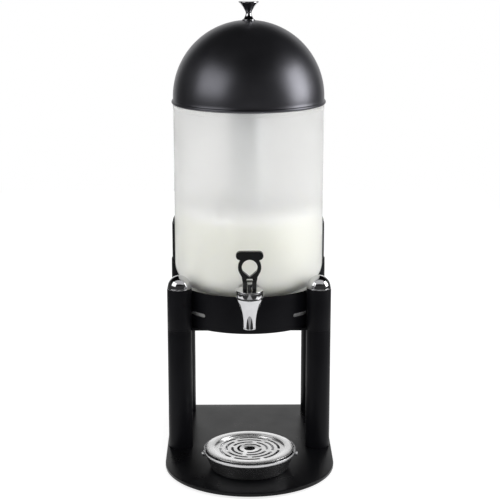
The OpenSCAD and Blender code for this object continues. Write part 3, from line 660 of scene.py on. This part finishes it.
for step in range(1, knob["flareSteps"] + 1):
    share = step / knob["flareSteps"]
    profile.append((knob["waist"] + (flareEnd - knob["waist"]) * share ** knob["flarePower"],
                    bottom + knob["waistUp"] + (rimZ - bottom - knob["waistUp"]) * share))
rimTop = bottom + knob["height"]
rimInner = knob["top"] - knob["rimStep"]
profile += roundCorners([(rimInner, rimZ, 0),
                         (knob["top"], rimZ + knob["rimUnder"][0], knob["rimUnder"][1]),
                         (knob["top"], rimTop - knob["rimEdge"][0], knob["rimEdge"][1]),
                         (rimInner, rimTop - knob["crown"][0], knob["crown"][1]),
                         (0, rimTop, 0)], fewSteps)[1:]
handle = spinUpright("lidKnob", profile, (0, axisY), False, knob["steps"])
smooth(handle, turnedEdge)
dress(handle, "lid", chrome, "chrome", "lid_knob")
print("lid done")

# tap body: flared spout under a short head, with the flange and the shank behind it
spout = {"drop": 35.2, "outlet": 5.4, "outletEdge": 0.4, "end": 8.3, "endEdge": 0.8, "endHeight": 6,
         "under": 16.5, "flarePower": 2.4, "flareTop": 6, "flareSteps": 24, "head": 17.5, "headUp": 7.6,
         "headBand": 2, "headUnder": 0.8, "headEdge": 0.3, "chamber": 10.5, "seatDrop": 7, "funnel": 4,
         "wellTop": 3, "steps": 96}
shank = {"radius": 7.5, "bore": 4.5, "start": 6, "passage": 30, "back": 65.5, "backEdge": 0.6,
         "backInside": 0.4, "flange": 13.5, "flangeThick": 3, "flangeFace": 106.5, "flangeFront": 0.8,
         "flangeBack": 0.5, "fillet": 1.5, "filletStep": 0.01}
spoutZ = shankZ - spout["drop"]
headZ = shankZ + spout["headUp"]
seatZ = shankZ - spout["seatDrop"]
flareZ = headZ - spout["flareTop"]
endZ = spoutZ + spout["endHeight"]
profile = roundCorners([(spout["outlet"], endZ, 0), (spout["outlet"], spoutZ, spout["outletEdge"]),
                        (spout["end"], spoutZ, spout["endEdge"]), (spout["end"], endZ, 0)], fewSteps)[1:-1]
for step in range(1, spout["flareSteps"] + 1):
    share = step / spout["flareSteps"]
    profile.append((spout["end"] + (spout["under"] - spout["end"]) * share ** spout["flarePower"],
                    spoutZ + (flareZ - spoutZ) * share))
profile += roundCorners([(spout["under"], flareZ, 0),
                         (spout["head"], headZ - spout["headBand"], spout["headUnder"]),
                         (spout["head"], headZ, spout["headEdge"]),
                         (spout["chamber"], headZ, 0)], fewSteps)[1:]
profile += [(spout["chamber"], seatZ), (spout["outlet"], seatZ - spout["funnel"])]
body = spinUpright("tapBody", profile, (0, tapY), True, spout["steps"])
armStart = tapY + shank["start"]
flangeFace = axisY - shank["flangeFace"]
flangeBack = flangeFace + shank["flangeThick"]
shankBack = axisY - shank["back"]
profile = roundCorners([(shank["bore"], armStart, 0), (shank["radius"], armStart, 0),
                        (shank["radius"], flangeFace - shank["filletStep"], shank["fillet"]),
                        (shank["flange"], flangeFace, shank["flangeFront"]),
                        (shank["flange"], flangeBack, shank["flangeBack"]),
                        (shank["radius"], flangeBack, 0), (shank["radius"], shankBack, shank["backEdge"]),
                        (shank["bore"], shankBack, shank["backInside"])])
combine(body, [spinLevel("arm", profile, True)], "UNION")
passage = levelRod("passage", shank["bore"], tapY, tapY + shank["passage"])
profile = rectangle(0, spout["chamber"], seatZ, headZ + spout["wellTop"])
well = spinUpright("well", profile, (0, tapY), False, spout["steps"])
combine(body, [passage, well], "DIFFERENCE")
smooth(body, turnedEdge)
dress(body, "container", chrome, "chrome", "tap_body")

# bonnet: screwed ring with a lip, turned in one piece with its spigot
bonnet = {"radius": 17.5, "waist": 0.6, "height": 8.7, "edge": 0.3, "topEdge": 0.6, "lip": 2,
          "lipSlope": 0.6, "spigot": 10.45, "spigotLength": 4, "spigotEdge": 0.4, "bore": 2.78,
          "boreEdge": 0.2, "steps": 96}
top = headZ + bonnet["height"]
lipZ = top - bonnet["lip"]
spigotEnd = headZ - bonnet["spigotLength"]
waistRadius = bonnet["radius"] - bonnet["waist"]
profile = roundCorners([(bonnet["bore"], spigotEnd, bonnet["boreEdge"]),
                        (bonnet["spigot"], spigotEnd, bonnet["spigotEdge"]), (bonnet["spigot"], headZ, 0),
                        (waistRadius, headZ, bonnet["edge"]), (waistRadius, lipZ - bonnet["lipSlope"], 0),
                        (bonnet["radius"], lipZ, bonnet["edge"]),
                        (bonnet["radius"], top, bonnet["topEdge"]),
                        (bonnet["bore"], top, bonnet["boreEdge"])], fewSteps)
ferrule = spinUpright("tapBonnet", profile, (0, tapY), True, bonnet["steps"])
smooth(ferrule, turnedEdge)
dress(ferrule, "container", chrome, "chrome", "tap_bonnet")

# lever: fork with a rolling heel, neck with a small window, finger ring and cross bar
lever = {"thick": 8, "forkWidth": 17.5, "forkGap": 3.2, "forkTop": 6, "neck": 9.85, "neckUp": 10.5,
         "neckLap": 2, "neckThin": 0.2, "ring": 14.8, "ringSteps": 72, "ringHole": 10, "ringUp": 25.5,
         "ringJoin": 30, "tearAngle": 35, "tearTip": 0.6, "tearSteps": 40, "barWidth": 35, "barHeight": 11,
         "barLap": 0.5, "barThin": 0.1, "barSteps": 16, "windowWidth": 8, "windowHeight": 3,
         "windowUp": 7.6, "gapDown": 1, "gapTop": 6.4, "heel": 4.3, "heelSteps": 8, "rise": 5.73,
         "travel": 35, "toe": 2, "prongTop": 7, "cut": 24, "pin": 1.35, "pinSteps": 32, "voxel": 0.4,
         "soften": 0.5, "softenRounds": 7, "sharpEdge": 50}


def leverBlock(name, shape, thick):
    points = [(x, tapY + thick / 2, pinZ + z) for x, z in shape]
    return extrudeShape(name, points, (0, -thick, 0))


ringUp = lever["ringUp"]
ringShape = arc((0, ringUp), lever["ring"], 0, 360, lever["ringSteps"])[:-1]
loop = leverBlock("tapLever", ringShape, lever["thick"])
joinX = lever["ring"] * math.cos(math.radians(lever["ringJoin"]))
joinZ = ringUp - lever["ring"] * math.sin(math.radians(lever["ringJoin"]))
fork = lever["forkWidth"] / 2
neck = lever["neck"]
shoulder = ringUp - lever["ring"] + lever["neckLap"]
neckShape = [(-fork, lever["forkTop"]), (fork, lever["forkTop"]), (neck, lever["neckUp"]),
             (neck, shoulder), (joinX, joinZ), (-joinX, joinZ), (-neck, shoulder),
             (-neck, lever["neckUp"])]
barRadius = lever["barHeight"] / 2
barUp = ringUp + lever["ringHole"] + barRadius - lever["barLap"]
barHalf = lever["barWidth"] / 2 - barRadius
barShape = longRound(barHalf, barUp, barRadius, lever["barSteps"])
parts = [leverBlock("neck", neckShape, lever["thick"] - lever["neckThin"]),
         leverBlock("bar", barShape, lever["thick"] - lever["barThin"])]
heel = []  # the curve that rolls on the bonnet and lifts the pin as the lever tilts
for step in range(lever["heelSteps"] + 1):
    turn = math.radians(lever["travel"] * step / lever["heelSteps"])
    reach = lever["heel"] + lever["rise"] * turn
    heel.append((-reach * math.sin(turn) - lever["rise"] * math.cos(turn),
                 -reach * math.cos(turn) + lever["rise"] * math.sin(turn)))
side = [(lever["thick"] / 2, -lever["heel"])] + heel
side += [(heel[-1][0], heel[-1][1] + lever["toe"]), (-lever["thick"] / 2, lever["prongTop"]),
         (lever["thick"] / 2, lever["prongTop"])]
gap = lever["forkGap"]
prong = fork - gap
for x in (gap, -gap - prong):
    parts.append(extrudeShape("prong", [(x, tapY + y, pinZ + z) for y, z in side], (prong, 0, 0)))
combine(loop, parts, "UNION")
tear = lever["ringHole"]
tearAngle = lever["tearAngle"]
tearEnd = ringUp - tear / math.sin(math.radians(90 - tearAngle)) - lever["tearTip"]
tearShape = arc((0, ringUp), tear, -tearAngle, 180 + tearAngle, lever["tearSteps"]) + [(0, tearEnd)]
window = lever["windowWidth"] / 2
windowLow = lever["windowUp"]
windowShape = rectangle(-window, window, windowLow, windowLow + lever["windowHeight"])
gapShape = rectangle(-gap, gap, -lever["gapDown"], lever["gapTop"])
holes = {"tear": tearShape, "window": windowShape, "gap": gapShape}
combine(loop, [leverBlock(name, shape, lever["cut"]) for name, shape in holes.items()], "DIFFERENCE")
applyModifier(loop, "REMESH", mode="VOXEL", voxel_size=lever["voxel"] * mm)
applyModifier(loop, "SMOOTH", factor=lever["soften"], iterations=lever["softenRounds"])
shape = arc((0, 0), lever["pin"], 0, 360, lever["pinSteps"])[:-1]
points = [(-lever["cut"] / 2, tapY + y, pinZ + z) for y, z in shape]
combine(loop, [extrudeShape("pinHole", points, (lever["cut"], 0, 0))], "DIFFERENCE")
smooth(loop, lever["sharpEdge"])
dress(loop, "lever", leverPlastic, "black_plastic", "tap_lever")
print("tap done")

# drip tray: spun dish with an upright rim round the grate and two lugs
tray = {"rim": 60.2, "rimHeight": 4.1, "rimThick": 1.4, "rimFoot": 0.4, "wallTop": 58.6, "floor": 50,
        "height": 25.2, "wall": 1, "edge": 0.6, "floorRound": 2.5, "floorInside": 2, "neck": 0.5,
        "ledge": 0.3, "ledgeFoot": 0.2, "lugReach": 62.6, "lugStart": 55.6, "lugSize": 6.4, "lugLap": 0.1,
        "lugEdge": 1.4, "steps": 128}
trayZ = boxOf("drip_tray")[0][2]
rimZ = trayZ + tray["height"] - tray["rimHeight"]
ledgeZ = rimZ + tray["wall"]
floorTop = trayZ + tray["wall"]
innerFloor = tray["floor"] - tray["wall"]
innerTop = tray["wallTop"] - tray["wall"]
rimInner = tray["rim"] - tray["rimThick"]
rimTop = trayZ + tray["height"]
profile = roundCorners([(0, trayZ, 0), (tray["floor"], trayZ, tray["floorRound"]),
                        (tray["wallTop"], rimZ, tray["neck"]),
                        (tray["rim"], rimZ, tray["edge"]), (tray["rim"], rimTop, tray["edge"]),
                        (rimInner, rimTop, tray["edge"]), (rimInner, ledgeZ, tray["rimFoot"]),
                        (innerTop, ledgeZ, tray["ledge"]), (innerTop, rimZ, tray["ledgeFoot"]),
                        (innerFloor, floorTop, tray["floorInside"]), (0, floorTop, 0)])
dish = spinUpright("dripTray", profile, (0, tapY), False, tray["steps"])
lugs = []
half = tray["lugSize"] / 2
shape = rectangle(tapY - half, tapY + half, rimZ - tray["lugSize"], rimZ + tray["lugLap"])
for side in (-1, 1):
    lug = extrudeShape("lug", [(side * tray["lugStart"], y, z) for y, z in shape],
                       (side * (tray["lugReach"] - tray["lugStart"]), 0, 0))
    bevelEdges(lug, tray["lugEdge"])
    lugs.append(lug)
combine(dish, lugs, "UNION")
smooth(dish, turnedEdge)
dress(dish, "drip_tray", trayFinish, "brushed_steel", "drip_tray")

# grate: flat outer ring with a groove under its lip, sunk field with rings of slots, and a skirt in the
# tray's cone; the walls of the slots get a painted shade, a dark colour below the field's top
grate = {"rim": 57.2, "rimEdge": 0.25, "thick": 1.5, "sheet": 0.8, "field": 46, "fieldEdge": 0.5,
         "drop": 2.2, "edge": 0.3, "skirtEdge": 0.4, "lip": 0.5, "groove": 1.2, "grooveEnd": 3.4,
         "grooveEdge": 0.2, "hole": 7, "holeEdge": 0.4, "slot": 3.4, "slotSteps": 20, "endSteps": 6,
         "pitch": 7.8, "rings": 4, "firstWebs": 3, "web": 5, "webStart": 126, "webTurn": 36,
         "shade": (0.1, 0.35), "paintedShadeColour": (0.03, 0.03, 0.03), "steps": 144}
grateLow, grateHigh = boxOf("drip_grate")
grateTop = grateHigh[2]
skirtEnd = grateLow[2]
plateZ = grateTop - grate["thick"]
fieldZ = plateZ - grate["drop"]
fieldTop = fieldZ + grate["thick"]
sheetZ = fieldTop - grate["sheet"]
stepOut = grate["field"] + grate["thick"]
rimRadius = grate["rim"]
skirtInner = rimRadius - grate["thick"]
grooveInner = rimRadius - grate["groove"]
grooveEnd = grateTop - grate["grooveEnd"]
edge = grate["edge"]
grooveEdge = grate["grooveEdge"]
profile = roundCorners([(grate["hole"], sheetZ, grooveEdge), (stepOut, sheetZ, edge),
                        (stepOut, plateZ, edge), (skirtInner, plateZ, edge), (skirtInner, skirtEnd, edge),
                        (rimRadius, skirtEnd, grate["skirtEdge"]), (rimRadius, grooveEnd, edge),
                        (grooveInner, grooveEnd, grooveEdge),
                        (grooveInner, grateTop - 2 * grate["lip"], grooveEdge),
                        (rimRadius, grateTop - grate["lip"], grooveEdge),
                        (rimRadius, grateTop, grate["rimEdge"]),
                        (grate["field"], grateTop, grate["fieldEdge"]), (grate["field"], fieldTop, edge),
                        (grate["hole"], fieldTop, grate["holeEdge"])], fewSteps)
grill = spinUpright("dripGrate", profile, (0, tapY), True, grate["steps"])
slots = []
slotEnd = grate["slot"] / 2


def roundEnd(radius, angle, start):
    # half circle that closes a slot at an angle
    turn = math.radians(angle)
    middle = (radius * math.cos(turn), tapY + radius * math.sin(turn))
    return arc(middle, slotEnd, start, start + 180, grate["endSteps"])[1:-1]


for number in range(grate["rings"]):
    radius = grate["hole"] + (number + 1) * grate["pitch"]
    webs = grate["firstWebs"] + number
    start = grate["webStart"] + grate["webTurn"] * number
    half = math.degrees(math.asin((grate["web"] / 2 + slotEnd) / radius))
    for web in range(webs):
        first = start + 360 * web / webs + half
        last = start + 360 * (web + 1) / webs - half
        outer = arc((0, tapY), radius + slotEnd, first, last, grate["slotSteps"])
        inner = arc((0, tapY), radius - slotEnd, last, first, grate["slotSteps"])
        outline = outer + roundEnd(radius, last, last) + inner + roundEnd(radius, first, first + 180)
        points = [(x, y, fieldZ - overCut) for x, y in outline]
        slots.append(extrudeShape("slot", points, (0, 0, grate["thick"] + 2 * overCut)))
combine(grill, [joinPieces(slots)], "DIFFERENCE")
smooth(grill, turnedEdge)
# painted shade: the grate's colour turns near black from 0.1 to 0.35 mm below the field's top, on the slot
# walls and everything below them
slotPaintedShade = {"start": fieldTop - grate["shade"][0], "end": fieldTop - grate["shade"][1],
             "colour": grate["paintedShadeColour"]}
grateSteelSlotShade = makeTurnedSteel("grateSteelSlotShade", (0, tapY), (0.88, 0.88, 0.88), (0.94, 0.94, 0.94),
                              (0.22, 0.28), pitch=2600, fade=slotPaintedShade)
dress(grill, "drip_grate", grateSteelSlotShade, "brushed_steel", "drip_grate")
print("tray done")

# nodes that are kept as they are get their finish here
keptNodes = {"carrier_plate": blackCoat, "tie_rods": screwSteel, "post_plugs": darkPlastic,
             "support_drum": drumZinc, "drum_screws": screwSteel, "seat_pad": silicone,
             "lid_gasket": silicone, "knob_screw": screwSteel, "knob_washer": screwSteel,
             "shank_nut": chrome, "outer_washer": silicone, "inner_washer": silicone,
             "valve_stem": screwSteel, "seat_cup": silicone, "lever_pin": screwSteel}
for node, material in keptNodes.items():
    cadNodes[node].data.materials.clear()
    cadNodes[node].data.materials.append(material)
print("kept nodes finished")

# floor: glows for camera, mirrored and transmitted rays, and takes the shadow
stage = {"width": 1.24, "front": 0.34, "back": 1.8, "glow": 0.78, "colour": (0.42, 0.42, 0.42),
         "roughness": 0.9}


def anyOf(tree, *kinds):
    # 1 for rays of the kinds named, 0 for the rest
    path = addNode(tree, "ShaderNodeLightPath")
    found = path.outputs[kinds[0]]
    for kind in kinds[1:]:
        found = calculate(tree, "MAXIMUM", found, path.outputs[kind])
    return found


clearSelection()
bpy.ops.mesh.primitive_plane_add(size=1, location=(0, 0, 0))
floor = bpy.context.object
floor.name = "floor"
bpy.ops.object.mode_set(mode="EDIT")
bpy.ops.mesh.select_all(action="SELECT")
bpy.ops.transform.resize(value=(stage["width"], stage["front"] + stage["back"], 1))
bpy.ops.transform.translate(value=(0, (stage["back"] - stage["front"]) / 2, 0))
bpy.ops.object.mode_set(mode="OBJECT")
material, tree, shader = newMaterial("paleFloor")
seen = anyOf(tree, "Is Camera Ray", "Is Glossy Ray", "Is Transmission Ray")
fill(tree, shader, {"Base Color": (*stage["colour"], 1), "Roughness": stage["roughness"],
                    "Specular IOR Level": 0, "Emission Color": (1, 1, 1, 1),
                    "Emission Strength": calculate(tree, "MULTIPLY", seen, stage["glow"])})
floor.data.materials.append(material)

# world: level light; mirrored rays see a white backdrop behind the object, a grey sheet that runs on from
# the floor towards the camera and a dim room elsewhere; the camera and clear pieces see white
air = {"light": 0.58, "dim": 0.05, "back": (0.72, 0.92), "above": (0.3, 0.6), "sheet": 0.5,
       "sheetSpread": 1.25, "sheetEdge": (-0.3, -0.18)}
world = bpy.data.worlds.new("studio")
bpy.context.scene.world = world
world.use_nodes = True
tree = world.node_tree
direction = addNode(tree, "ShaderNodeTexCoord").outputs["Generated"]
toward = addNode(tree, "ShaderNodeSeparateXYZ", {"Vector": direction})


def softEdge(value, edge, low, high):
    # goes from low to high where the value crosses the edge
    return addRange(tree, value, *edge, low, high, interpolation_type="SMOOTHSTEP")


behind = softEdge(toward.outputs["Y"], air["back"], air["dim"], 1)
overhead = softEdge(toward.outputs["Z"], air["above"], 1, air["dim"])
shade = calculate(tree, "MULTIPLY", behind, overhead)
aside = calculate(tree, "ABSOLUTE", toward.outputs["X"])
spread = calculate(tree, "MULTIPLY_ADD", toward.outputs["Z"], air["sheetSpread"], aside)
sheet = softEdge(spread, air["sheetEdge"], air["sheet"], 0)
room = calculate(tree, "MAXIMUM", shade, sheet)
mirrored = addMix(tree, mixNumbers, anyOf(tree, "Is Glossy Ray"), air["light"], room)
straight = addMix(tree, mixNumbers, anyOf(tree, "Is Camera Ray", "Is Transmission Ray"), mirrored, 1)
fill(tree, tree.nodes["Background"], {"Color": (1, 1, 1, 1), "Strength": straight})

# soft boxes: a bright one beside the object on the right, a weaker one in front on the left, and a faint
# one over the front, which only shows in mirrored surfaces
lamps = {"rightBox": {"place": (1.4, -0.12, 0.8), "aim": (0, 0.03, 0.35), "size": (0.76, 1.0),
                      "power": 13.2},
         "leftBox": {"place": (-1.2, -0.65, 1.0), "aim": (0, 0.03, 0.35), "size": (1.2, 0.9),
                     "power": 6.6},
         "frontBox": {"place": (0, -0.155, 0.45), "aim": (0, -0.155, 0), "size": (0.7, 0.235),
                      "power": 0.34}}
for name, lamp in lamps.items():
    light = bpy.data.lights.new(name, "AREA")
    light.shape = "RECTANGLE"
    light.size, light.size_y = lamp["size"]
    light.energy = lamp["power"]
    holder = bpy.data.objects.new(name, light)
    bpy.context.scene.collection.objects.link(holder)
    holder.location = lamp["place"]
    aim = Vector(lamp["aim"]) - holder.location
    holder.rotation_euler = aim.to_track_quat("-Z", "Y").to_euler()
    if name == "frontBox":
        holder.visible_camera = False
        holder.visible_diffuse = False
        holder.visible_transmission = False

# camera
view = {"place": (-0.016, -1.8435, 0.728), "tilt": 76.35, "turn": -0.535, "lens": 103.4, "sensor": 36}
camera = bpy.data.cameras.new("camera")
camera.lens = view["lens"]
camera.sensor_width = view["sensor"]
cameraObject = bpy.data.objects.new("camera", camera)
cameraObject.location = view["place"]
cameraObject.rotation_euler = (math.radians(view["tilt"]), 0, math.radians(view["turn"]))
bpy.context.scene.collection.objects.link(cameraObject)
bpy.context.scene.camera = cameraObject
bpy.context.scene.view_settings.view_transform = "Standard"
print("stage set")
